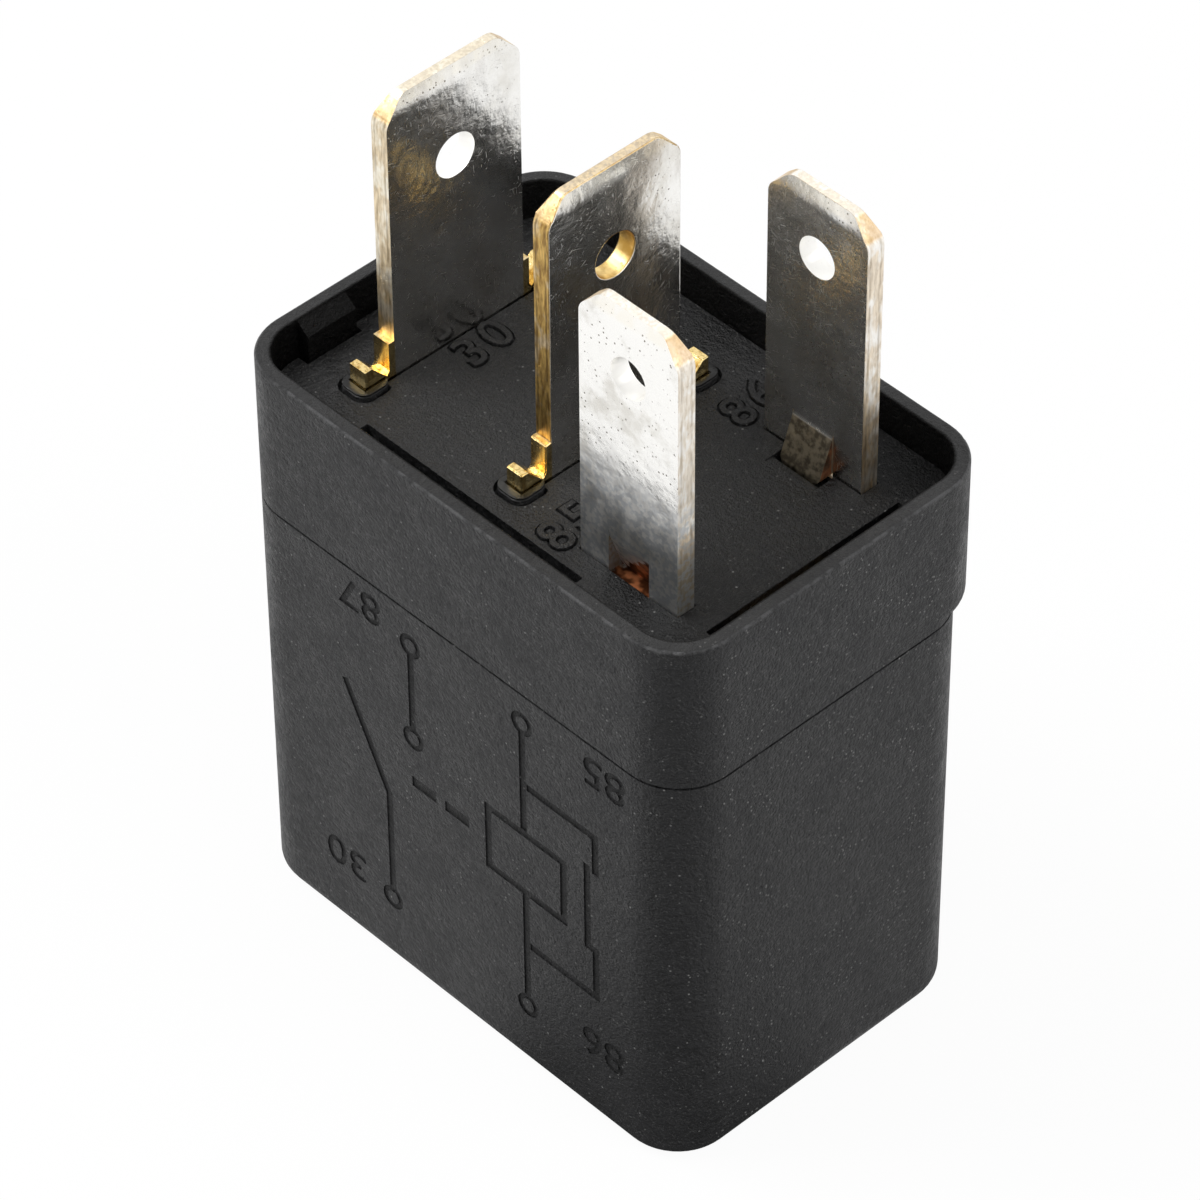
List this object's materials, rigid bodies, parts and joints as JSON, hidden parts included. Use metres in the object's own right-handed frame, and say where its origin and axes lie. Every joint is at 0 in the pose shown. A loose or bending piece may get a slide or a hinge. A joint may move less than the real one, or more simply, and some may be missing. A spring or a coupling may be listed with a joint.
{
  "type": "automotive relay",
  "caption": "Plug-in automotive relay: moulded cover with a stepped collar, sunk base plate, flat blade terminals and a working hinged armature with its contact spring inside.",
  "frame": {"origin": "centre of the cover's closed end, which the relay stands on", "axes": "+Z towards the blade tips, +X towards the two coil blades, -Y towards the side with the coil blade 85"},
  "size_m": [0.023, 0.0156, 0.0364],
  "materials": {
    "cover_plastic": "fine textured glass-filled plastic",
    "plate_plastic": "fine textured glass-filled plastic",
    "tin_plate": "tin plated brass, rubbed",
    "soft_iron": "zinc flash",
    "spring_bronze": "rolled bronze strip",
    "contact_silver": "satin silver alloy",
    "copper_wire": "enamelled copper",
    "bobbin_plastic": "natural nylon",
    "resistor_lacquer": "lacquered"
  },
  "bodies": {
    "relay": {"cover": "cover_plastic", "base_plate": "plate_plastic", "terminal_30": "tin_plate", "terminal_87": "tin_plate", "load_strip": "tin_plate", "terminal_85": "tin_plate", "terminal_86": "tin_plate", "yoke": "soft_iron", "core": "soft_iron", "bobbin": "bobbin_plastic", "coil_winding": "copper_wire", "contact_spring": "spring_bronze", "fixed_contact": "contact_silver", "spring_rivets": "soft_iron", "terminal_rivets": "soft_iron", "resistor_body": "resistor_lacquer", "resistor_leads": "tin_plate", "coil_wires": "copper_wire"},
    "armature": {"armature": "soft_iron", "moving_contact": "contact_silver", "armature_rivets": "soft_iron"}
  },
  "joints": [
    {"name": "armature_hinge", "type": "hinge", "parent": "relay", "child": "armature", "pos_m": [-0.0076, 0.00015, 0.00498], "axis": [0, 1, 0], "range_deg": [-3, 0], "stiffness_Nm_per_rad": 0.02, "springref_deg": 5.73, "deforming": ["contact_spring"]}
  ]
}
